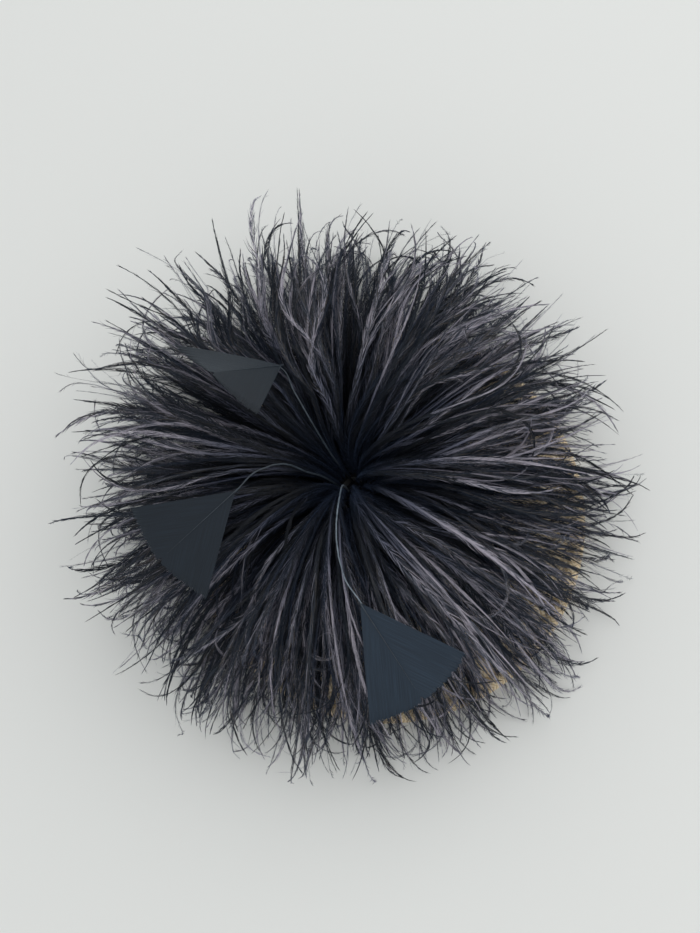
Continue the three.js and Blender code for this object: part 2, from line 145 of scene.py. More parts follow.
def ramp(material, factor, stops):
    """A colour ramp through the given (place, hex colour) stops."""
    node = add_node(material, "ShaderNodeValToRGB", links={"Fac": factor})
    elements = node.color_ramp.elements
    while len(elements) < len(stops):
        elements.new(0.5)
    for element, (place, colour) in zip(elements, stops):
        element.position = place
        element.color = linear(colour)
    return node.outputs["Color"]


def finish_piece(piece, material, body, nodes=()):
    """Gives a piece its material and its body, and says which CAD nodes it stands for."""
    piece.data.materials.clear()
    piece.data.materials.append(material)
    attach(piece, body)
    if nodes:
        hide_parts(*nodes)
    return piece


print("mid grey in linear light:", round(linear("#808080")[0], 3))

# %% [markdown]
# ## Table and light
# The headpiece lies on a plain pale table under very even light. A pale world gives light from every side, so
# that there is hardly a shadow, and one large soft lamp at the upper right gives the flues their direction.
# A smaller lamp would draw hard shadows between the flues, which daylight in a pale room doesn't.

# %% Table and light
TABLE_SIZE = 6.0
table_mesh = bmesh.new()
bmesh.ops.create_grid(table_mesh, x_segments=1, y_segments=1, size=TABLE_SIZE / 2)
table_data = bpy.data.meshes.new("table")
table_mesh.to_mesh(table_data)
table_mesh.free()
table = bpy.data.objects.new("table", table_data)
bpy.context.collection.objects.link(table)
# Painted board, rolled matt: it spreads light evenly and shows no reflection
matt_board, _ = new_material("matt painted board", Base_Color=linear("#e0e1df"), Roughness=0.9)
table_data.materials.append(matt_board)

world = bpy.data.worlds.new("studio")
bpy.context.scene.world = world
world.use_nodes = True
sky = world.node_tree.nodes["Background"]
sky.inputs["Color"].default_value = linear("#f4f6f6")
sky.inputs["Strength"].default_value = 0.78


def soft_lamp(name, place, target, size, watts):
    """A large square lamp at place, turned to target."""
    light = bpy.data.lights.new(name, "AREA")
    light.size = size
    light.energy = watts
    lamp = bpy.data.objects.new(name, light)
    turned = (target - place).to_track_quat("-Z", "Y").to_matrix().to_4x4()
    lamp.matrix_world = Matrix.Translation(place) @ turned
    bpy.context.collection.objects.link(lamp)


soft_lamp("overhead softbox", Vector((0.9, 0.35, 1.4)), Vector((0, 0, 0)), 2.2, 15)
bpy.context.scene.view_settings.view_transform = "Standard"
print("lamps:", [item.name for item in bpy.data.lights])

# %% [markdown]
# ## A flue
# A flue is one barb of an ostrich plume: a shaft as thin as a hair, with soft barbules on both sides that
# lean towards the tip. Hair particles or a flat card with a see-through picture could stand for it, but the
# first leaves no mesh and the second no real outline. So it is made straight, along X, as a pattern: an
# extruded three-sided shaft, and one narrow blade that an Array repeats for every barbule. Numpy then lays
# each blade in its place, because the blades differ only in root, length and lean. Several patterns are
# made, so that no two neighbours match.

# %% The sizes of a flue
FLUE_L = 120 * MM
SHAFT_R = 0.19 * MM
SHAFT_STEPS = 16
# Real barbules stand 0.2 mm apart and are finer than a hair: these are fewer and wider, so that they show
BARBULE_GAP = 0.95 * MM
BARBULE_L = 7.8 * MM
BARBULE_W = 0.22 * MM
# How much a barbule's tint and the shaft's differ from their flue's
BARBULE_JITTER = 0.22
SHAFT_LIFT = 0.34
# The lean of the barbules off the shaft, in degrees, one for each pattern
LEANS = [12, 16, 14, 19, 27, 12]
print("barbules on a flue:", 2 * int(FLUE_L / BARBULE_GAP))


# %% From a bmesh to an object
def object_from(mesh):
    """A new object that shows a mesh that exists."""
    piece = bpy.data.objects.new(mesh.name, mesh)
    bpy.context.collection.objects.link(piece)
    return piece


def mesh_from(name, bm):
    """A bmesh as a new mesh. The bmesh is freed."""
    mesh = bpy.data.meshes.new(name)
    bm.to_mesh(mesh)
    bm.free()
    return mesh


def built(name, build):
    """A new object whose mesh build(bm) makes."""
    bm = bmesh.new()
    build(bm)
    return object_from(mesh_from(name, bm))


def repeated(piece, count):
    """The piece's mesh copied count times in place, by an Array modifier. The piece is removed."""
    array = piece.modifiers.new("copies", "ARRAY")
    array.count = count
    array.use_relative_offset = False
    array.use_constant_offset = True
    array.constant_offset_displace = (0, 0, 0)
    graph = bpy.context.evaluated_depsgraph_get()
    mesh = bpy.data.meshes.new_from_object(piece.evaluated_get(graph))
    bpy.data.objects.remove(piece)
    return mesh


def coordinates(mesh):
    """The mesh's corner places as an array of rows."""
    places = np.empty(len(mesh.vertices) * 3)
    mesh.vertices.foreach_get("co", places)
    return places.reshape(-1, 3)


print("meshes so far:", len(bpy.data.meshes))


# %% A blade and a shaft
def build_blade(bm):
    """A narrow blade along X, one unit long and one wide, that ends in a point."""
    bmesh.ops.create_grid(bm, x_segments=2, y_segments=1, size=0.5)
    tip = [v for v in bm.verts if v.co.x > 0.4]
    bmesh.ops.pointmerge(bm, verts=tip, merge_co=(0.5, 0, 0))
    bmesh.ops.translate(bm, verts=bm.verts, vec=(0.5, 0, 0))


def build_shaft(bm):
    """A three-sided shaft along X from 0 to 1, of radius 1, that thins to its tip."""
    bmesh.ops.create_circle(bm, segments=3, radius=1, matrix=Matrix.Rotation(math.pi / 2, 4, "Y"))
    edges = list(bm.edges)
    for step in range(SHAFT_STEPS):
        made = bmesh.ops.extrude_edge_only(bm, edges=edges)["geom"]
        ring = [part for part in made if isinstance(part, bmesh.types.BMVert)]
        edges = [part for part in made if isinstance(part, bmesh.types.BMEdge)]
        bmesh.ops.translate(bm, verts=ring, vec=(1 / SHAFT_STEPS, 0, 0))
    bmesh.ops.recalc_face_normals(bm, faces=bm.faces)


trial_blade = built("trial blade", build_blade)
print("faces in a blade:", len(trial_blade.data.polygons))
bpy.data.objects.remove(trial_blade)


# %% Build straight flues
def flue_pattern(seed, lean_degrees):
    """One straight flue, FLUE_L long, as a mesh. Its barbules stand off the shaft by lean_degrees."""
    rng = np.random.default_rng(seed)
    per_side = int(FLUE_L / BARBULE_GAP)
    count = 2 * per_side
    mesh = repeated(built("blade", build_blade), count)
    blade = coordinates(mesh).reshape(count, -1, 3)
    along, across = blade[:, :, 0], blade[:, :, 1]
    side = np.repeat([1, -1], per_side)
    share = np.tile((np.arange(per_side) + 0.5) / per_side, 2) + rng.normal(0, 0.004, count)
    share = np.clip(share, 0.02, 0.985)
    lock = np.sin(share * rng.uniform(24, 34) + side * 1.3 + rng.uniform(0, 6))
    taper = np.clip((1.02 - share) * 3.4, 0.12, 1)
    length = BARBULE_L * np.clip(0.45 + 2.0 * share, 0, 1) * (0.35 + 0.65 * taper)
    length *= rng.uniform(0.7, 1.12, count)
    lean = np.radians(lean_degrees * (1 + 0.3 * lock + rng.normal(0, 0.2, count))) * taper
    rise = rng.normal(0, 0.13, count)
    curl = rng.uniform(0.3, 0.75, count)
    reach = along * length[:, None]
    bent = lean[:, None] * (1 - curl[:, None] * along)
    width = BARBULE_W * across
    x = share[:, None] * FLUE_L + reach * np.cos(bent) - width * np.sin(lean)[:, None]
    y = side[:, None] * (reach * np.sin(bent) + width * np.cos(lean)[:, None])
    z = reach * rise[:, None] * along
    mesh.vertices.foreach_set("co", np.stack([x, y, z], axis=2).ravel())
    shaft = built("shaft", build_shaft)
    rod = coordinates(shaft.data)
    thin = SHAFT_R * (1.15 - rod[:, 0])
    rod = np.stack([rod[:, 0] * FLUE_L, rod[:, 1] * thin, rod[:, 2] * thin], axis=1)
    shaft.data.vertices.foreach_set("co", rod.ravel())
    bm = bmesh.new()
    bm.from_mesh(shaft.data)
    bm.from_mesh(mesh)
    own_tint = np.repeat(rng.normal(0, BARBULE_JITTER, count), blade.shape[1])
    jitter = np.concatenate([np.full(len(rod), SHAFT_LIFT), own_tint])
    bpy.data.objects.remove(shaft)
    return mesh_from(f"flue pattern {seed}", bm), jitter


patterns = [flue_pattern(seed, lean) for seed, lean in enumerate(LEANS)]
print("faces in one flue:", len(patterns[0][0].polygons))

# %% [markdown]
# ## Bending flues into an arch
# Every flue leaves the core, rises, arches over and droops under its own weight, and its tip may hook or
# stray. A Curve modifier could bend one flue, but not two thousand, so a flue's line is found by walking
# along it: at each step its elevation and its heading say which way it goes. Flues near the middle of the
# core start almost upright and those at its edge start low, so one number, the tier share from 0 (innermost)
# to 1 (outermost), sets the arch of each. Flues stick together in small locks, so each lock has a line of its
# own and its flues differ only a little from it.

# %% Where the arrow feathers lie
def arrow_frame(azimuth, radius, height, heading, pitch, roll):
    """A vane's own frame, in mm and degrees: its point at the origin, rachis along X, face up along Z."""
    around = math.radians(azimuth)
    place = Vector((radius * math.cos(around), radius * math.sin(around), height)) * MM
    turn = Matrix.Rotation(math.radians(heading), 4, "Z")
    turn = turn @ Matrix.Rotation(math.radians(-pitch), 4, "Y") @ Matrix.Rotation(math.radians(roll), 4, "X")
    return Matrix.Translation(place) @ turn


# Azimuth, radius and height of each point, then the vane's heading, pitch and roll
ARROWS = [(-76, 54.5, 92.2, -57, 2.5, 14), (208, 32, 102, 216, -16, -12), (116, 37, 87.4, 216, 59, 14)]
VANE_FRAMES = [arrow_frame(*arrow) for arrow in ARROWS]
print("points of the arrow feathers, mm:", [[round(c / MM) for c in f.translation] for f in VANE_FRAMES])

# %% The core and the pouf's uneven sides
LINE_STEPS = 44
core_low, core_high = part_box("core_tape")
CORE_R = (core_high.x - core_low.x) / 2
CORE_TOP = core_high.z
# Where the flues stand stiffest, where they are shortest, and the side toward the light, painted paler as
# painted light
STIFF_SIDE = math.radians(105)
SHORT_SIDE = math.radians(30)
PAINTED_LIT_SIDE = math.radians(-18)
print("core radius and top, mm:", round(CORE_R / MM, 1), round(CORE_TOP / MM, 1))


# %% Walk along an arch
def mix(a, b, share):
    """A value between a and b."""
    return a + (b - a) * share


def flue_lines(rng, lock_of, tier, around, length, stray):
    """Lines of flues as arrays [flue, step, xyz]. Angles are in radians, elevation up from level."""
    count = len(lock_of)

    def varied(spread, own=0.28):
        """A normal spread for each lock, and a smaller one of each flue's own."""
        return rng.normal(0, spread, lock_of[-1] + 1)[lock_of] + rng.normal(0, spread * own, count)

    u = np.linspace(0, 1, LINE_STEPS)[None, :]
    stiff = (0.5 + 0.5 * np.cos(around - STIFF_SIDE)) ** 2
    launch = np.radians(mix(87, 12, tier ** 1.15)) + varied(0.04)
    middle = np.radians(mix(24, -16, tier) + 9 * stiff * (1 - tier)) + varied(0.10)
    landing = np.radians(mix(-42, -62, tier) + 26 * stiff * (1 - tier)) + varied(0.2, 0.8)
    bend = mix(0.37, 0.28, tier) * rng.uniform(0.85, 1.15, count)
    fall = np.exp(-(u / bend[:, None]) ** mix(2.8, 2.0, tier)[:, None])
    elevation = middle[:, None] + (launch - middle)[:, None] * fall
    elevation = elevation + (landing - middle)[:, None] * u ** 2
    curly = (1 + 4.0 * stray) * (1 - 0.6 * stiff)
    hook = np.clip((u - 0.66) / 0.34, 0, 1) ** 1.6
    bow = varied(0.31)[:, None] * u
    wave = varied(0.14)[:, None] * np.sin(u * rng.uniform(5, 11, count)[:, None])
    heading = around[:, None] + bow + wave * np.clip(u * 3, 0, 1)
    heading = heading + (varied(0.34, 0.8) * curly)[:, None] * hook
    elevation = elevation + ((0.05 + varied(0.28, 0.8)) * curly)[:, None] * hook
    step = length[:, None] / (LINE_STEPS - 1)
    level = np.cos(elevation)
    flow = np.stack([level * np.cos(heading), level * np.sin(heading), np.sin(elevation)], 2)
    line = np.cumsum(flow * step[:, :, None], axis=1)
    root_r = CORE_R * mix(0.24, 0.95, tier)
    line[:, :, 0] += (root_r * np.cos(around))[:, None]
    line[:, :, 1] += (root_r * np.sin(around))[:, None]
    line[:, :, 2] += CORE_TOP
    return line


# %% Keep the arches within bounds
def above_table(line, floor=1.2 * MM):
    """Flues that would sink into the table lie along it instead."""
    height = line[:, :, 2]
    soft = 4 * MM
    line[:, :, 2] = floor + soft * np.logaddexp(0, (height - floor) / soft)
    return line


def inside_reach(line, start=100 * MM, limit=117 * MM):
    """Tips that would reach too far out are bent back, so that none passes the limit."""
    radius = np.linalg.norm(line[:, :, :2], axis=2)
    room = limit - start
    eased = np.where(radius > start, start + room * np.tanh((radius - start) / room), radius)
    line[:, :, :2] *= (eased / radius)[:, :, None]
    return line


def under_vanes(line, gap=5.5 * MM):
    """Flues beneath an arrow feather are pressed down by it."""
    for vane_place in VANE_FRAMES:
        inverse = np.array(vane_place.inverted())
        local = line @ inverse[:3, :3].T + inverse[:3, 3]
        past_point = np.clip((local[:, :, 0] + 16 * MM) / (12 * MM), 0, 1)
        before_edge = np.clip((52 * MM - local[:, :, 0]) / (10 * MM), 0, 1)
        beside = np.clip((32 * MM - np.abs(local[:, :, 1])) / (9 * MM), 0, 1)
        push = np.maximum(local[:, :, 2] + gap, 0) * past_point * before_edge * beside
        line = line - push[:, :, None] * np.array(vane_place.col[2])[:3]
    return line


# %% Lay flues along their lines
def bend_along(straight, line, twist):
    """Straight flues [flue, corner, xyz] laid along their lines, turned about them by twist."""
    tangent = np.gradient(line, axis=1)
    tangent /= np.linalg.norm(tangent, axis=2, keepdims=True)
    side = np.cross(tangent, np.array([0.0, 0.0, 1.0]))
    side += 1e-6
    side /= np.linalg.norm(side, axis=2, keepdims=True)
    normal = np.cross(side, tangent)
    place = np.clip(straight[:, :, 0] / FLUE_L, 0, 1) * (LINE_STEPS - 1.001)
    low = place.astype(int)
    part = (place - low)[:, :, None]
    rows = np.arange(len(line))[:, None]

    def at(values):
        return values[rows, low] * (1 - part) + values[rows, low + 1] * part

    past = (np.maximum(straight[:, :, 0] - FLUE_L, 0))[:, :, None]
    angle = twist[:, :1] + twist[:, 1:] * straight[:, :, 0] / FLUE_L
    y = straight[:, :, 1] * np.cos(angle) - straight[:, :, 2] * np.sin(angle)
    z = straight[:, :, 1] * np.sin(angle) + straight[:, :, 2] * np.cos(angle)
    return at(line) + past * at(tangent) + y[:, :, None] * at(side) + z[:, :, None] * at(normal)


print("steps in a flue's line:", LINE_STEPS)

# %% [markdown]
# ## Ostrich colour
# Ostrich is dyed black, but the barbules catch light as soft charcoal, some warmer and some nearer violet.
# A noise could give that, but it would cut across the barbules. So each flue carries two numbers on its
# corners: tint, its place between those colours, and along, from root to tip. The roots lie deep in the pouf,
# and along darkens them to a blue black there: painted shade of the pouf's hollow.

# %% Dyed ostrich material
# Keratin, dyed in the bath and left unpolished: rough, faintly glossy, with the bloom of fine down as sheen
ostrich, ostrich_shader = new_material(
    "dyed ostrich barbs", Roughness=0.62, Specular_IOR_Level=0.22, Sheen_Weight=0.25, Sheen_Roughness=0.5)
ostrich_shader.inputs["Sheen Tint"].default_value = linear("#829bcc")
tint = add_node(ostrich, "ShaderNodeAttribute", {"attribute_name": "tint"}).outputs["Fac"]
along = add_node(ostrich, "ShaderNodeAttribute", {"attribute_name": "along"}).outputs["Fac"]
flue_colour = ramp(ostrich, tint, [
    (0.0, "#040a12"), (0.36, "#1a212b"), (0.54, "#4a4541"),
    (0.63, "#28303b"), (0.83, "#5b5c66"), (1.0, "#a29da8")])
# Painted shade: the roots darken to blue black, the shade deep in the pouf's hollow, and the tips keep their
# tint.
painted_root_shade = ramp(ostrich, along, [(0.0, "#020710"), (0.28, "#0d1828"), (0.5, "#9aa2b0"), (0.66, "#ffffff")])
shade = add_node(ostrich, "ShaderNodeMix", {"data_type": "RGBA", "blend_type": "MULTIPLY"})
shade.inputs["Factor"].default_value = 1.0
ostrich.node_tree.links.new(flue_colour, shade.inputs["A"])
ostrich.node_tree.links.new(painted_root_shade, shade.inputs["B"])
ostrich.node_tree.links.new(shade.outputs["Result"], ostrich_shader.inputs["Base Color"])
print("nodes in the ostrich material:", len(ostrich.node_tree.nodes))

# %% [markdown]
# ## The pouf
# The pouf is sewn bunch by bunch, in three tiers. Each bunch in the frame is a plain wedge, and the flues of
# that wedge are one piece that stands for it. Linked copies of one flue would be lighter, but all would arch
# alike. So an Array makes the copies of each pattern, and all are bent together, each along its own line.

# %% The numbers of the pouf
BUNCHES = 8
PALE = 0.94
# How far the tint rises from root to tip: painted light on the exposed tips.
TIP_PAINTED_LIGHT = 0.14
TABLE_GAP = 0.25 * MM
LOCK_SIZE = 6
STRAY_SHARE = 0.2
# For each tier: its flues in a bunch, the tier shares it spans, and the turn of its first bunch
TIERS = {
    "upper_flues": (72, 0.0, 0.36, 0.5),
    "middle_flues": (72, 0.33, 0.68, 0.0),
    "lower_flues": (108, 0.62, 1.0, 0.5),
}
print("flues in the pouf:", BUNCHES * sum(flues for flues, *_ in TIERS.values()))


# %% One bunch
def flue_bunch(name, seed, flues, tier_low, tier_high, middle):
    """One bunch of flues as a piece. middle is the direction of the bunch, in radians."""
    rng = np.random.default_rng(seed)
    locks = flues // LOCK_SIZE
    half = math.pi / BUNCHES
    lock_tier = rng.uniform(tier_low, tier_high, locks)
    lock_around = middle + half * (2 * (np.arange(locks) + rng.uniform(0, 1, locks)) / locks - 1)
    rng.shuffle(lock_tier)
    lock_length = 1 + rng.normal(0, 0.05, locks)
    lock_of = np.repeat(np.arange(locks), LOCK_SIZE)
    count = len(lock_of)
    tier = np.clip(lock_tier[lock_of] + rng.normal(0, 0.02, count), 0, 1)
    around = lock_around[lock_of] + rng.normal(0, 0.03, count)
    length = mix(121, 101, tier ** 0.9) * MM * lock_length[lock_of] * (1 + rng.normal(0, 0.06, count))
    length *= 1 - mix(0.16, 0.07, tier) * np.clip(np.cos(around - SHORT_SIDE), 0, 1)
    stray = (rng.uniform(0, 1, count) < STRAY_SHARE).astype(float)
    length *= 1 + 0.06 * stray
    line = flue_lines(rng, lock_of, tier, around, length, stray)
    line = above_table(under_vanes(inside_reach(line)))
    twist = np.stack([rng.uniform(-1.0, 1.0, count), rng.normal(0, 1.2, count)], 1)
    # Upper tiers get paler tints and the outer, lower ones darker: painted light on top of the pouf and
    # painted shade under it.
    flue_tint = rng.uniform(0, 1, count) ** 1.25 * mix(1.06, 0.82, tier)
    # Flues on the side toward the light get paler tints: painted light.
    flue_tint *= 1 + 0.34 * np.clip(np.cos(around - PAINTED_LIT_SIDE), 0, 1)
    width = rng.uniform(0.5, 1.2, count) * np.where(flue_tint > PALE, 0.6, 1)
    shares = np.array_split(rng.permutation(count), len(patterns))
    bm = bmesh.new()
    tints, alongs = [], []
    for (pattern, jitter), chosen in zip(patterns, shares):
        copies = repeated(object_from(pattern), len(chosen))
        straight = coordinates(copies).reshape(len(chosen), -1, 3)
        straight[:, :, 1:] *= width[chosen][:, None, None]
        bent = bend_along(straight, line[chosen], twist[chosen])
        bent[:, :, 2] = np.maximum(bent[:, :, 2], TABLE_GAP)
        copies.vertices.foreach_set("co", bent.ravel())
        bm.from_mesh(copies)
        share = straight[:, :, 0] / FLUE_L
        # Each flue's tint rises towards its tip: painted light.
        tints.append((flue_tint[chosen][:, None] + jitter[None, :] + TIP_PAINTED_LIGHT * (share - 0.5)).ravel())
        alongs.append(share.ravel())
        bpy.data.meshes.remove(copies)
    mesh = mesh_from(name, bm)
    for attribute, values in (("tint", tints), ("along", alongs)):
        made = mesh.attributes.new(attribute, "FLOAT", "POINT")
        made.data.foreach_set("value", np.concatenate(values).astype(np.float32))
    return object_from(mesh)


# %% Grow the bunches
flue_faces = 0
for tier_number, (tier_name, (flues, tier_low, tier_high, offset)) in enumerate(TIERS.items()):
    for k in range(BUNCHES):
        node = f"{tier_name}_{k + 1}"
        middle = 2 * math.pi * (k + offset) / BUNCHES
        bunch = flue_bunch(f"{node}_barbs", 100 * tier_number + k, flues, tier_low, tier_high, middle)
        finish_piece(bunch, ostrich, "headpiece", [node])
        flue_faces += len(bunch.data.polygons)
print("faces in the pouf:", flue_faces)

# %% [markdown]
# ## Arrow feathers
# Each arrow feather is a dyed goose feather, stripped and trimmed so that only a triangle of vane is left at
# its end. The barbs of the vane leave the rachis at one acute angle and are cut off along one line. A plain
# triangle would do from afar, but the vane is made barb by barb: a grid is laid out so that its columns are
# the barbs, which keeps every cut edge and every barb line true. The quill is a curve with a round bevel.

# %% Curves into tubes
def tube(name, points, radius, thin=None, sides=3, closed=False):
    """A round tube along a smooth curve through points, with a radius that thin(share) scales."""
    curve = bpy.data.curves.new(name, "CURVE")
    curve.dimensions = "3D"
    curve.bevel_depth = radius
    curve.bevel_resolution = sides
    curve.use_fill_caps = not closed
    curve.resolution_u = 6
    spline = curve.splines.new("BEZIER")
    spline.bezier_points.add(len(points) - 1)
    spline.use_cyclic_u = closed
    for k, (knot, place) in enumerate(zip(spline.bezier_points, points)):
        knot.co = place
        knot.handle_left_type = knot.handle_right_type = "AUTO"
        knot.radius = thin(k / (len(points) - 1)) if thin else 1
    holder = bpy.data.objects.new(name, curve)
    bpy.context.collection.objects.link(holder)
    graph = bpy.context.evaluated_depsgraph_get()
    mesh = bpy.data.meshes.new_from_object(holder.evaluated_get(graph))
    bpy.data.objects.remove(holder)
    mesh.name = name
    return object_from(mesh)


def smooth(piece, degrees=40):
    """Smooth shading, with the edges sharper than an angle kept crisp."""
    piece.data.shade_smooth()
    piece.data.set_sharp_from_angle(angle=math.radians(degrees))


# %% Dyed goose material
# Keratin barbs zipped into a flat vane: satin rather than glossy, with a bloom at a low angle. Colour and
# bump are stretched along the barbs. BARB_PITCH is in mm. Each vane's colour is scaled by a brightness of its
# own: partly the strength of its dye, partly painted light and shade
goose, goose_shader = new_material(
    "dyed goose vane", Roughness=0.58, Specular_IOR_Level=0.3, Sheen_Weight=0.3, Sheen_Roughness=0.4)
goose_shader.inputs["Sheen Tint"].default_value = linear("#8fa0b0")
goose_map = add_node(goose, "ShaderNodeUVMap", {"uv_map": "barbs"}).outputs["UV"]
BARB_PITCH = 0.45
barb_stretch = add_node(goose, "ShaderNodeMapping", links={"Vector": goose_map})
barb_stretch.inputs["Scale"].default_value = (0.05 / BARB_PITCH, 1 / BARB_PITCH, 1)
barb_noise = add_node(goose, "ShaderNodeTexNoise", {"Scale": 1.0, "Detail": 3.0},
                      {"Vector": barb_stretch.outputs["Vector"]})
goose_stops = [(0.25, "#121d29"), (0.5, "#182532"), (0.75, "#223140")]
goose_colour = ramp(goose, barb_noise.outputs["Fac"], goose_stops)
# Each vane's brightness: partly its dye, partly painted light and shade.
dye_and_painted_light = add_node(goose, "ShaderNodeAttribute", {"attribute_name": "dye_and_painted_light"}).outputs["Color"]
dyed_and_lit = add_node(goose, "ShaderNodeMix", {"data_type": "RGBA", "blend_type": "MULTIPLY"})
dyed_and_lit.inputs["Factor"].default_value = 1.0
goose.node_tree.links.new(goose_colour, dyed_and_lit.inputs["A"])
goose.node_tree.links.new(dye_and_painted_light, dyed_and_lit.inputs["B"])
goose.node_tree.links.new(dyed_and_lit.outputs["Result"], goose_shader.inputs["Base Color"])
barb_bump = add_node(goose, "ShaderNodeBump", {"Strength": 0.5, "Distance": 0.3 * MM},
                     {"Height": barb_noise.outputs["Fac"]})
goose.node_tree.links.new(barb_bump.outputs["Normal"], goose_shader.inputs["Normal"])
print("nodes in the goose material:", len(goose.node_tree.nodes))

# %% Dyed quill material
QUILL_MOTTLE = 1 / (2.5 * MM)


def quill_material(name, low, high, roughness, coat):
    """Horn of a quill, unevenly dyed: smooth and a little glossy, with mottles 2.5 mm across."""
    material, shader = new_material(name, Roughness=roughness, Coat_Weight=coat)
    place = add_node(material, "ShaderNodeTexCoord").outputs["Object"]
    noise = add_node(material, "ShaderNodeTexNoise", {"Scale": QUILL_MOTTLE, "Detail": 2.0},
                     {"Vector": place})
    colour = ramp(material, noise.outputs["Fac"], [(0.3, low), (0.7, high)])
    material.node_tree.links.new(colour, shader.inputs["Base Color"])
    return material


pale_quill = quill_material("lightly dyed quill", "#4a5560", "#747f8a", 0.38, 0.2)
dark_quill = quill_material("deeply dyed quill", "#1c242c", "#353f49", 0.55, 0.0)
print("quill materials:", pale_quill.name, "and", dark_quill.name)

# %% Trim a vane
VANE_L = 37 * MM
VANE_HALF = 21 * MM
VANE_ARC = 4 * MM
VANE_T = 0.14 * MM
BARBS = 84
BARB_STEPS = 7
# Each side has a band of the map to itself, this many mm apart, so that the sides don't match
SIDE_BAND = 60


def arrow_vane(name, frame, seed, droop, dye_and_light):
    """A triangular vane in its own frame. droop is how far its sides hang; the last argument scales its
    colour, partly its dye and partly painted light and shade.
    """
    rng = np.random.default_rng(seed)
    slope = VANE_HALF / (VANE_L - 2 * MM)
    bm = bmesh.new()
    bmesh.ops.create_grid(bm, x_segments=BARBS - 1, y_segments=2 * BARB_STEPS, size=1)
    frayed = rng.uniform(-0.9, 0.1, (2, BARBS)) * MM
    uv = bm.loops.layers.uv.new("barbs")
    for corner in bm.verts:
        barb = round((corner.co.x + 1) / 2 * (BARBS - 1))
        side = 1 if corner.co.y > 0 else -1
        share = abs(corner.co.y)
        root = VANE_L * barb / (BARBS - 1)
        bulge = VANE_ARC / VANE_HALF ** 2
        width = (math.sqrt(1 / slope ** 2 + 4 * bulge * (VANE_L + 2 * MM - root)) - 1 / slope) / (2 * bulge)
        width = max(width + frayed[(side + 1) // 2, barb] * (1 - 0.6 * barb / BARBS), 0.3 * MM)
        across = side * share * width
        hang = -droop * (abs(across) / VANE_HALF) ** 1.7 - 0.8 * MM * math.sin(root / VANE_L * 3.1) * share
        ripple = 0.02 * MM * math.sin(root * 5200 + side) * share
        corner.co = (root + share * width / slope, across, hang + ripple)
    for face in bm.faces:
        for loop in face.loops:
            barb_place = loop.vert.co.x - abs(loop.vert.co.y) / slope
            band = SIDE_BAND * (face.calc_center_median().y > 0)
            loop[uv].uv = (abs(loop.vert.co.y) / MM, barb_place / MM + band)
    bmesh.ops.transform(bm, matrix=frame, verts=bm.verts)
    mesh = mesh_from(name, bm)
    taken = mesh.attributes.new("dye_and_painted_light", "FLOAT", "POINT")
    taken.data.foreach_set("value", np.full(len(mesh.vertices), dye_and_light, np.float32))
    piece = object_from(mesh)
    thick = piece.modifiers.new("thickness", "SOLIDIFY")
    thick.thickness = VANE_T
    thick.offset = 0
    smooth(piece, 60)
    return piece


print("barbs on each side of a vane:", BARBS)

# %% Route a quill
QUILL_R = 0.38 * MM
RACHIS_R = 0.2 * MM
# How far below the vane the quill runs, and how far behind the vane's point it comes in line with it
UNDER_VANE = 0.75 * MM
BEHIND = 11.1 * MM
# The pitch, in degrees, from which a vane counts as standing up
STANDING = 45


def quill_route(azimuth, foot, frame, standing):
    """From the core, up the hollow, over the pouf and along under the vane. A standing vane is met level."""
    around = math.radians(azimuth)
    rise = frame.translation.z - CORE_TOP

    def out(radius, height):
        return Vector((radius * math.cos(around), radius * math.sin(around), height))

    knots = [out(foot, CORE_TOP - 7 * MM), out(foot, CORE_TOP + MM)]
    knots.append(out(foot + 0.6 * MM, CORE_TOP + 0.3 * rise))
    knots.append(out(foot + 4.0 * MM, CORE_TOP + 0.64 * rise))
    point = frame.translation
    level = out(math.hypot(point.x, point.y) - BEHIND, point.z)
    approach = level if standing else frame @ Vector((-BEHIND, 0, -UNDER_VANE))
    return knots + [approach] + [frame @ Vector((x * MM, 0, -UNDER_VANE)) for x in (0, 16, 33)]


print("quill and rachis across, mm:", round(2 * QUILL_R / MM, 2), round(2 * RACHIS_R / MM, 2))

# %% Make the arrow feathers
FEET = [5.11 * MM, 4.52 * MM, 3.8 * MM]
DROOPS = [1.5 * MM, 1.5 * MM, 3.0 * MM]
# Brightness of each vane: partly the strength of its dye, partly painted light and shade, lighter on the
# first vane and darker on the other two.
DYES_AND_PAINTED_LIGHT = [1.15, 0.56, 0.4]
QUILLS = [pale_quill, dark_quill, dark_quill]
for k, (arrow, place, foot) in enumerate(zip(ARROWS, VANE_FRAMES, FEET)):
    body = f"arrow_{k + 1}"
    vane = arrow_vane(f"arrow_web_{k + 1}", place, 40 + k, DROOPS[k], DYES_AND_PAINTED_LIGHT[k])
    finish_piece(vane, goose, body, [f"arrow_vane_{k + 1}"])
    route = quill_route(arrow[0], foot, place, arrow[4] > STANDING)
    stem = tube(f"arrow_stem_{k + 1}", route, QUILL_R, lambda share: 1.05 - 0.6 * share)
    smooth(stem)
    finish_piece(stem, QUILLS[k], body, [f"arrow_quill_{k + 1}"])
    ridge_line = [place @ Vector((x * MM, 0, (0.22 - 0.004 * x) * MM)) for x in (-1, 6, 14, 24, 34)]
    ridge = tube(f"arrow_rachis_{k + 1}", ridge_line, RACHIS_R, lambda share: 1.0 - 0.8 * share)
    smooth(ridge)
    finish_piece(ridge, dark_quill, body, [])
print("arrow feathers:", len(ARROWS))

# %% [markdown]
# ## Straw base
# A straw base is plaited braid, about 6 mm wide, sewn row over row in a spiral, blocked to a shallow dome and
# bound at its edge. A sculpted dome would lose the rows, and a real spiral of braid would cost many faces
# that the feathers hide. So a profile with one step for each row is spun about the base's middle, which gives
# real ledges between the rows. The plait itself, far finer, is bump and colour that follow the rows.

# %% Spin and mapping helpers
base_low, base_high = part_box("straw_base")
BASE_MIDDLE = Vector(((base_low.x + base_high.x) / 2, (base_low.y + base_high.y) / 2, 0))
BASE_R = (base_high.x - base_low.x) / 2
SPIN_STEPS = 120


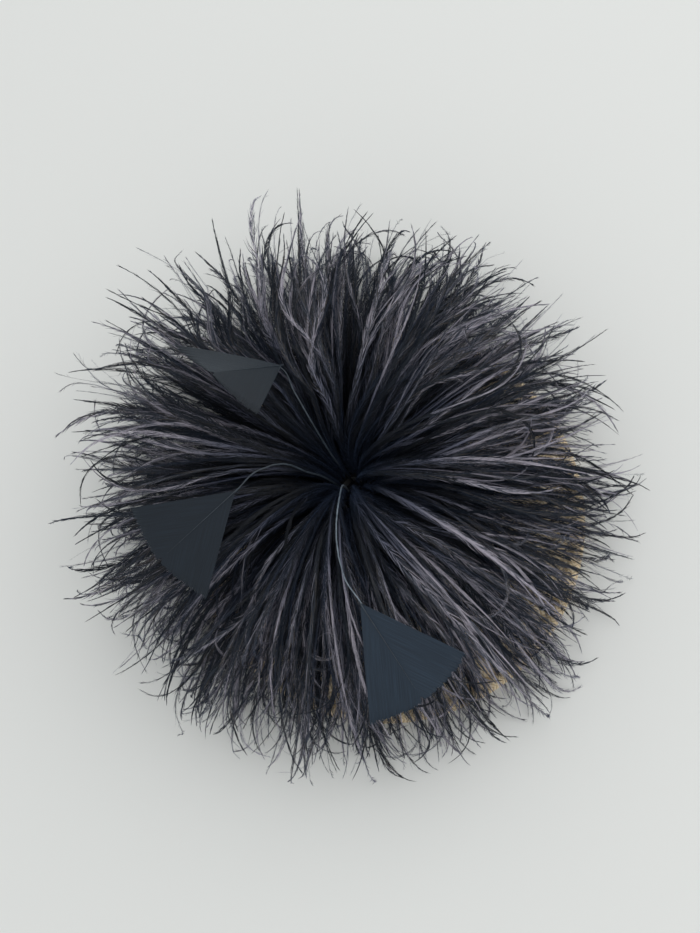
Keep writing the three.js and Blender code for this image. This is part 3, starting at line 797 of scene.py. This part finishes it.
def spun(name, profile, middle, steps=SPIN_STEPS, sharp=40):
    """Spins a profile of (radius, height) points about the upright axis through middle."""
    bm = bmesh.new()
    chain = [bm.verts.new(middle + Vector((radius, 0, height))) for radius, height in profile]
    edges = [bm.edges.new(pair) for pair in zip(chain, chain[1:])]
    bmesh.ops.spin(bm, geom=chain + edges, cent=middle, axis=(0, 0, 1), angle=2 * math.pi, steps=steps,
                   use_merge=True)
    bmesh.ops.remove_doubles(bm, verts=bm.verts, dist=0.01 * MM)
    bmesh.ops.recalc_face_normals(bm, faces=bm.faces)
    ring = bm.loops.layers.uv.new("rows")
    for face in bm.faces:
        centre = face.calc_center_median() - middle
        heading = math.atan2(centre.y, centre.x)
        for loop in face.loops:
            place = loop.vert.co - middle
            radius = math.hypot(place.x, place.y)
            turn = math.atan2(place.y, place.x) if radius > 0.1 * MM else heading
            turn -= 2 * math.pi * round((turn - heading) / (2 * math.pi))
            loop[ring].uv = (turn * BASE_R / MM, radius / MM)
    piece = object_from(mesh_from(name, bm))
    smooth(piece, sharp)
    return piece


print("straw base across, mm:", round(2 * BASE_R / MM, 1))

# %% Plaited straw material
# Split wheat straw, plaited and sewn: a glossy skin over pale gold, with painted shade darkening the hollows
# between the stalks.
# The sizes are in mm: the width of a row of braid and the step of its plait, then those of the folded binding
ROW_W = 6.0
PLAIT_PITCH = 1.9
BINDING_ROW_W = 3.0
BINDING_PITCH = 1.5


def straw_material(name, pale, dark, row_width, pitch):
    """Plaited straw: chevrons across each row, pitch mm apart, with stalks of several golds and painted shade
    in the hollows between them.
    """
    material, shader = new_material(name, Roughness=0.5, Coat_Weight=0.15, Coat_Roughness=0.35)
    spread = add_node(material, "ShaderNodeSeparateXYZ")
    rows_map = add_node(material, "ShaderNodeUVMap", {"uv_map": "rows"}).outputs["UV"]
    material.node_tree.links.new(rows_map, spread.inputs["Vector"])
    math_node = "ShaderNodeMath"
    row = add_node(material, math_node, {"operation": "DIVIDE", 1: row_width}, {0: spread.outputs["Y"]})
    part = add_node(material, math_node, {"operation": "PINGPONG", 1: 0.5}, {0: row.outputs[0]})
    slant = add_node(material, math_node, {"operation": "MULTIPLY_ADD", 1: row_width},
                     {0: part.outputs[0], 2: spread.outputs["X"]})
    stalks = add_node(material, math_node, {"operation": "MULTIPLY", 1: math.pi / pitch},
                      {0: slant.outputs[0]})
    wave = add_node(material, math_node, {"operation": "SINE"}, {0: stalks.outputs[0]})
    height = add_node(material, math_node, {"operation": "ABSOLUTE"}, {0: wave.outputs[0]})
    noise = add_node(material, "ShaderNodeTexNoise", {"Scale": 0.9, "Detail": 3.0}, {"Vector": rows_map})
    # Colour follows the plait's height times a noise: the low hollows between stalks get painted shade, and
    # the noise gives the stalks their own golds.
    hollow_shade_and_tone = add_node(material, math_node, {"operation": "MULTIPLY"},
                    {0: height.outputs[0], 1: noise.outputs["Fac"]})
    colour = ramp(material, hollow_shade_and_tone.outputs[0], [(0.02, dark), (0.25, "#e8d2ab"), (0.6, pale)])
    material.node_tree.links.new(colour, shader.inputs["Base Color"])
    bump = add_node(material, "ShaderNodeBump", {"Strength": 0.7, "Distance": 0.5 * MM},
                    {"Height": height.outputs[0]})
    material.node_tree.links.new(bump.outputs["Normal"], shader.inputs["Normal"])
    return material


straw = straw_material("plaited straw braid", "#f8ead2", "#c8ab80", ROW_W, PLAIT_PITCH)
edge_straw = straw_material("folded straw binding", "#f5e3c4", "#b6966a", BINDING_ROW_W, BINDING_PITCH)
print("straw materials:", straw.name, "and", edge_straw.name)

# %% Sew the rows
# The dome is part of a sphere. A row of braid rises from the last one's edge, so each step has four corners
DOME_R = 207.893 * MM
DOME_Z = -190.793 * MM
STRAW_T = 2 * MM
FLANGE_INNER = 75 * MM
FLANGE_TOP = 3.1 * MM
FLANGE_FOOT = 1.1 * MM
# How far inside a row's edge each corner of its step lies, and how high it stands over the dome
STEP_CORNERS = [(5.6 * MM, 0.0), (3 * MM, 0.35 * MM), (0.6 * MM, 0.5 * MM), (0.0, 0.1 * MM)]


def dome(radius, sphere=DOME_R):
    """The height of a sphere's skin at a radius from the base's middle."""
    return DOME_Z + math.sqrt(sphere ** 2 - radius ** 2)


straw_profile = [(0, dome(0))]
row_edges = np.arange(1, FLANGE_INNER / (ROW_W * MM)) * ROW_W * MM
for edge in row_edges:
    straw_profile += [(edge - inside, dome(edge - inside) + lift) for inside, lift in STEP_CORNERS]
straw_profile += [(FLANGE_INNER, dome(FLANGE_INNER) + 0.2 * MM), (BASE_R, FLANGE_TOP), (BASE_R, FLANGE_FOOT)]
straw_profile += [(FLANGE_INNER, FLANGE_FOOT)]
straw_profile += [(r, dome(r) - STRAW_T) for r in np.linspace(FLANGE_INNER, 0, 9)]
straw_dome = spun("sewn_straw_dome", straw_profile, BASE_MIDDLE)
finish_piece(straw_dome, straw, "headpiece", ["straw_base"])
print("straw rows:", len(row_edges))

# %% Bind the edge
BINDING_R = 79.1 * MM
BINDING_REACH = 3.0 * MM
BINDING_H = 2.1 * MM
BINDING_SIDES = 16
binding_turns = [2 * math.pi * k / BINDING_SIDES for k in range(BINDING_SIDES + 1)]
binding_profile = [(BINDING_R + BINDING_REACH * math.cos(t), BINDING_H + BINDING_H * math.sin(t))
                   for t in binding_turns]
binding = spun("folded_edge_binding", binding_profile, BASE_MIDDLE, sharp=80)
finish_piece(binding, edge_straw, "headpiece", ["edge_binding"])
print("binding across, mm:", round(2 * (BINDING_R + BINDING_REACH) / MM, 1))

# %% [markdown]
# ## Lining, felt and thread
# Black cloth closes the base from below: a circle of satin stretched over the hollow and a felt pad that the
# fittings are sewn to. A cloth simulation would settle a stretched circle to the same skin, so both are spun,
# and the satin is then drawn in by small gathers round its edge, as hand sewing does. The core that holds the
# flues is a roll of ribbed tape, bound with thread and sewn to a felt seat.

# %% Cloth materials
# Satin is smooth and reflects in a soft band. Pressed felt and cotton scatter light, with a bloom of fibre.
# The scales are noise cells to a metre: satin slubs of 1.1 mm, felt tufts of 0.7 mm, tape ribs of 0.8 mm and
# thread fibres of 0.4 mm, each a little coarser than the real fibre, so that it shows
SATIN_SLUBS = 900
FELT_TUFTS = 1500
TAPE_RIBS = 1200
THREAD_FIBRES = 2500


def cloth_material(name, low, high, scale, roughness, sheen, bump_depth):
    """Fine cloth: noise of the thread's scale in its colour and its bump."""
    material, shader = new_material(name, Roughness=roughness, Sheen_Weight=sheen, Sheen_Roughness=0.45)
    place = add_node(material, "ShaderNodeTexCoord").outputs["Object"]
    fibre = add_node(material, "ShaderNodeTexNoise", {"Scale": scale, "Detail": 4.0}, {"Vector": place})
    colour = ramp(material, fibre.outputs["Fac"], [(0.35, low), (0.65, high)])
    material.node_tree.links.new(colour, shader.inputs["Base Color"])
    bump = add_node(material, "ShaderNodeBump", {"Strength": 0.5, "Distance": bump_depth},
                    {"Height": fibre.outputs["Fac"]})
    material.node_tree.links.new(bump.outputs["Normal"], shader.inputs["Normal"])
    return material


satin = cloth_material("black satin", "#121217", "#24242c", SATIN_SLUBS, 0.3, 0.4, 0.04 * MM)
felt = cloth_material("pressed wool felt", "#17181d", "#2c2d34", FELT_TUFTS, 0.95, 0.5, 0.3 * MM)
tape = cloth_material("ribbed cotton tape", "#0f1014", "#1d1e24", TAPE_RIBS, 0.8, 0.3, 0.2 * MM)
cotton = cloth_material("waxed cotton thread", "#0d0e12", "#23242b", THREAD_FIBRES, 0.6, 0.2, 0.1 * MM)
print("cloth materials:", [cloth.name for cloth in (satin, felt, tape, cotton)])

# %% Line the base
LINING_REACH = 74.4 * MM
LINING_SPHERE = 205.2 * MM
LINING_T = 0.3 * MM
GATHERS = 46
GATHER_H = 0.15 * MM
lining_profile = [(r, dome(r, LINING_SPHERE)) for r in np.linspace(0, LINING_REACH, 26)]
lining = spun("stretched_lining", lining_profile, BASE_MIDDLE, 4 * GATHERS)
puckers = coordinates(lining.data)
flat_place = puckers[:, :2] - np.array(BASE_MIDDLE)[:2]
lining_r = np.linalg.norm(flat_place, axis=1)
turn_round = np.arctan2(flat_place[:, 1], flat_place[:, 0])
near_edge = np.clip((lining_r / LINING_REACH - 0.82) / 0.18, 0, 1) ** 2
gather = near_edge * np.cos(turn_round * GATHERS)
puckers[:, 2] += GATHER_H * (gather + np.abs(gather))
lining.data.vertices.foreach_set("co", puckers.ravel())
cloth_wall = lining.modifiers.new("cloth thickness", "SOLIDIFY")
cloth_wall.thickness = LINING_T
cloth_wall.offset = 0
finish_piece(lining, satin, "headpiece", ["satin_lining"])
print("lining gathers:", GATHERS)

# %% Cut the felt pad
PAD_TOP_SPHERE = 204.4 * MM
pad_low, pad_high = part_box("mount_pad")
PAD_R = (pad_high.x - pad_low.x) / 2
pad_profile = [(0, pad_low.z), (PAD_R / 2, pad_low.z)]
pad_profile += [(PAD_R - 0.4 * MM, pad_low.z), (PAD_R, pad_low.z + 0.3 * MM)]
pad_profile += [(r, dome(r, PAD_TOP_SPHERE)) for r in (PAD_R, PAD_R * 0.7, PAD_R * 0.35, 0)]
pad = spun("felt_pad", pad_profile, BASE_MIDDLE, 64, 60)
finish_piece(pad, felt, "headpiece", ["mount_pad"])
print("felt pad across, mm:", round(2 * PAD_R / MM, 1))


# %% Copies of shaped nodes with soft edges
def softened(name, node, body, material, edge):
    """A node's own shape, welded into one skin, with rounded edges."""
    bm = bmesh.new()
    bm.from_mesh(frame["nodes"][node].data)
    bmesh.ops.remove_doubles(bm, verts=bm.verts, dist=0.002 * MM)
    bmesh.ops.dissolve_limit(bm, verts=bm.verts, edges=bm.edges, angle_limit=math.radians(2))
    bmesh.ops.recalc_face_normals(bm, faces=bm.faces)
    piece = object_from(mesh_from(name, bm))
    rounding = piece.modifiers.new("rounded edges", "BEVEL")
    rounding.width = edge
    rounding.segments = 2
    rounding.limit_method = "ANGLE"
    rounding.angle_limit = math.radians(35)
    smooth(piece, 35)
    return finish_piece(piece, material, body, [node])


# %% Roll the core
softened("felt_seat", "feather_seat", "headpiece", felt, 0.5 * MM)
rolled = softened("rolled_tape", "core_tape", "headpiece", tape, 0.4 * MM)
print("faces in the rolled tape:", len(rolled.data.polygons))

# %% Wind the thread
PER_TURN = 12
thread_low, thread_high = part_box("thread_binding")
THREAD_R = 0.5 * MM
THREAD_TURNS = 4.4
coil_r = (thread_high.x - thread_low.x) / 2 - THREAD_R
wind = [2 * math.pi * k / PER_TURN for k in range(int(THREAD_TURNS * PER_TURN) + 1)]
wind_foot = thread_low.z + THREAD_R
coil_points = [Vector((coil_r * math.cos(t), coil_r * math.sin(t), wind_foot + THREAD_R * t / math.pi))
               for t in wind]
coil = tube("wound_thread", coil_points, THREAD_R)
smooth(coil)
finish_piece(coil, cotton, "headpiece", ["thread_binding"])
print("thread turns:", THREAD_TURNS)

# %% [markdown]
# ## Hand stitches
# Short slanting stitches hold the binding to the straw and the lining to the binding. A circular array of
# objects would leave a hundred pieces, so one stitch, a small rounded bead of thread, is duplicated round the
# base by a spin, which leaves one.


# %% Sew round the edge
def stitch_ring(name, radius, height, count, length, material, lean):
    """A ring of short stitches about the base's middle."""
    bm = bmesh.new()
    bmesh.ops.create_icosphere(bm, subdivisions=1, radius=0.5)
    bmesh.ops.scale(bm, verts=bm.verts, vec=(length, 0.34 * MM, 0.3 * MM))
    bmesh.ops.rotate(bm, verts=bm.verts, cent=(0, 0, 0), matrix=Matrix.Rotation(lean, 3, "Z"))
    bmesh.ops.translate(bm, verts=bm.verts, vec=BASE_MIDDLE + Vector((radius, 0, height)))
    bmesh.ops.spin(bm, geom=bm.verts[:] + bm.edges[:] + bm.faces[:], cent=BASE_MIDDLE, axis=(0, 0, 1),
                   angle=2 * math.pi, steps=count, use_duplicate=True)
    bmesh.ops.remove_doubles(bm, verts=bm.verts, dist=0.005 * MM)
    piece = object_from(mesh_from(name, bm))
    smooth(piece, 80)
    return finish_piece(piece, material, "headpiece", [])


BINDING_STITCHES = 120
LINING_STITCHES = 110
# Undyed flax is pale gold like the straw, so that its stitches hardly show
flax = cloth_material("straw coloured thread", "#b8935c", "#dcbc88", THREAD_FIBRES, 0.6, 0.2, 0.1 * MM)
stitch_ring("binding_stitches", 76.6 * MM, 3.75 * MM, BINDING_STITCHES, 1.9 * MM, flax, 0.5)
stitch_ring("lining_stitches", 75.2 * MM, 0.55 * MM, LINING_STITCHES, 2.2 * MM, cotton, 0.6)
print("stitches:", BINDING_STITCHES + LINING_STITCHES)

# %% [markdown]
# ## Clip and brooch
# The fittings are stamped from thin nickel-plated steel. They could be modelled anew, but their working
# shapes are in the frame, so each is the frame's own shape with its cut edges rounded, as tumbling leaves
# them. The spring is wound anew as round wire, with one leg at the clip's upper jaw and the other at its
# lower jaw.

# %% Metals
# Nickel plate is a warm pale grey, tumbled to a soft shine. Spring wire is drawn, cooler and a little duller.
# The marks are noise cells to a metre, 3 mm and 2 mm long, drawn out along the metal by stretch
PLATE_MARKS = 300
WIRE_MARKS = 500


def metal(name, dark, pale, roughness, scale, stretch):
    """Bare metal with fine rubbing marks in its roughness."""
    material, shader = new_material(name, Metallic=1.0)
    place = add_node(material, "ShaderNodeTexCoord").outputs["Object"]
    drawn = add_node(material, "ShaderNodeMapping", links={"Vector": place})
    drawn.inputs["Scale"].default_value = stretch
    marks = add_node(material, "ShaderNodeTexNoise", {"Scale": scale, "Detail": 5.0},
                     {"Vector": drawn.outputs["Vector"]})
    colour = ramp(material, marks.outputs["Fac"], [(0.3, dark), (0.7, pale)])
    material.node_tree.links.new(colour, shader.inputs["Base Color"])
    rough = add_node(material, "ShaderNodeMapRange", {"To Min": roughness - 0.07, "To Max": roughness + 0.09},
                     {"Value": marks.outputs["Fac"]})
    material.node_tree.links.new(rough.outputs["Result"], shader.inputs["Roughness"])
    return material


nickel = metal("nickel-plated steel", "#a9a8a3", "#cfcdc7", 0.24, PLATE_MARKS, (0.15, 1, 1))
spring_wire = metal("drawn spring wire", "#9b9b9d", "#bebec0", 0.3, WIRE_MARKS, (1, 0.2, 1))
brim_wire = frame["nodes"]["brim_wire"]
brim_wire.data.materials.clear()
brim_wire.data.materials.append(spring_wire)
print("metals:", nickel.name, "and", spring_wire.name)

# %% Fit the clip and the brooch
STAMPED_EDGE = 0.12 * MM
CLIP_PARTS = {"clip_upper_jaw": "headpiece", "clip_lower_jaw": "clip_jaw", "clip_hinge_pin": "headpiece"}
BROOCH_PARTS = {"brooch_bar": "headpiece", "brooch_stem": "brooch_pin", "brooch_rivet": "headpiece",
                "catch_sleeve": "safety_catch"}
for node, body in {**CLIP_PARTS, **BROOCH_PARTS}.items():
    softened(f"{node}_plated", node, body, nickel, STAMPED_EDGE)
print("plated fittings:", len(CLIP_PARTS) + len(BROOCH_PARTS))

# %% Wind the spring
HINGE = Vector((-2, 0, 7.5)) * MM
SPRING_R = 1.6 * MM
SPRING_WIRE_R = 0.3 * MM
SPRING_TURNS = 3.5
SPRING_PITCH = 0.8 * MM
start_y = -SPRING_PITCH * SPRING_TURNS / 2
spring_route = [Vector((-8 * MM, start_y, 2.1 * MM)), Vector((-4 * MM, start_y, 1.85 * MM))]
for k in range(int(SPRING_TURNS * PER_TURN) + 1):
    turn = math.pi / 2 - 2 * math.pi * k / PER_TURN
    y = start_y + SPRING_PITCH * k / PER_TURN
    spring_route.append(Vector((SPRING_R * math.cos(turn), y, SPRING_R * math.sin(turn))))
spring_route += [Vector((-4 * MM, -start_y, -2.4 * MM)), Vector((-8 * MM, -start_y, -3.55 * MM))]
spring = tube("clip_coil_spring", [HINGE + knot for knot in spring_route], SPRING_WIRE_R, sides=2)
smooth(spring, 60)
spring.data.materials.append(spring_wire)
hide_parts("clip_spring")
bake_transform(spring)
print("spring turns:", SPRING_TURNS)


# %% Sew the fittings on
LOOPS = 4
LOOP_GAP = 0.45 * MM
LOOP_R = 0.22 * MM


def stitch_loops(name, middle, half_width, drop, node):
    """Loops of thread side by side over a metal strip, from the felt on one side to the other."""
    bm = bmesh.new()
    shoulder = half_width - 0.7 * MM
    top = 0.35 * MM
    for k in range(LOOPS):
        x = (k - (LOOPS - 1) / 2) * LOOP_GAP
        route = [(x, -half_width, top), (x, -half_width, -drop * 0.6), (x, -shoulder, -drop)]
        route += [(x, 0, -drop), (x, shoulder, -drop), (x, half_width, -drop * 0.6)]
        route += [(x + LOOP_GAP * 0.4, half_width, top)]
        loop = tube(name + "_loop", [middle + Vector(knot) for knot in route], LOOP_R, sides=2)
        bm.from_mesh(loop.data)
        bpy.data.objects.remove(loop)
    piece = object_from(mesh_from(name, bm))
    smooth(piece, 60)
    return finish_piece(piece, cotton, "headpiece", [node] if node else [])


FITTING_TOP = pad_low.z - 0.3 * MM
BAR_STITCH = (3.1 * MM, 1.4 * MM)
stitch_loops("brooch_stitches_1", Vector((1 * MM, -20 * MM, FITTING_TOP)), *BAR_STITCH, "bar_stitch_1")
stitch_loops("brooch_stitches_2", Vector((15 * MM, -20 * MM, FITTING_TOP)), *BAR_STITCH, "bar_stitch_2")
stitch_loops("clip_stitches", Vector((6 * MM, 0, FITTING_TOP)), 4.4 * MM, 1.25 * MM, None)
print("loops of thread over each strip:", LOOPS)
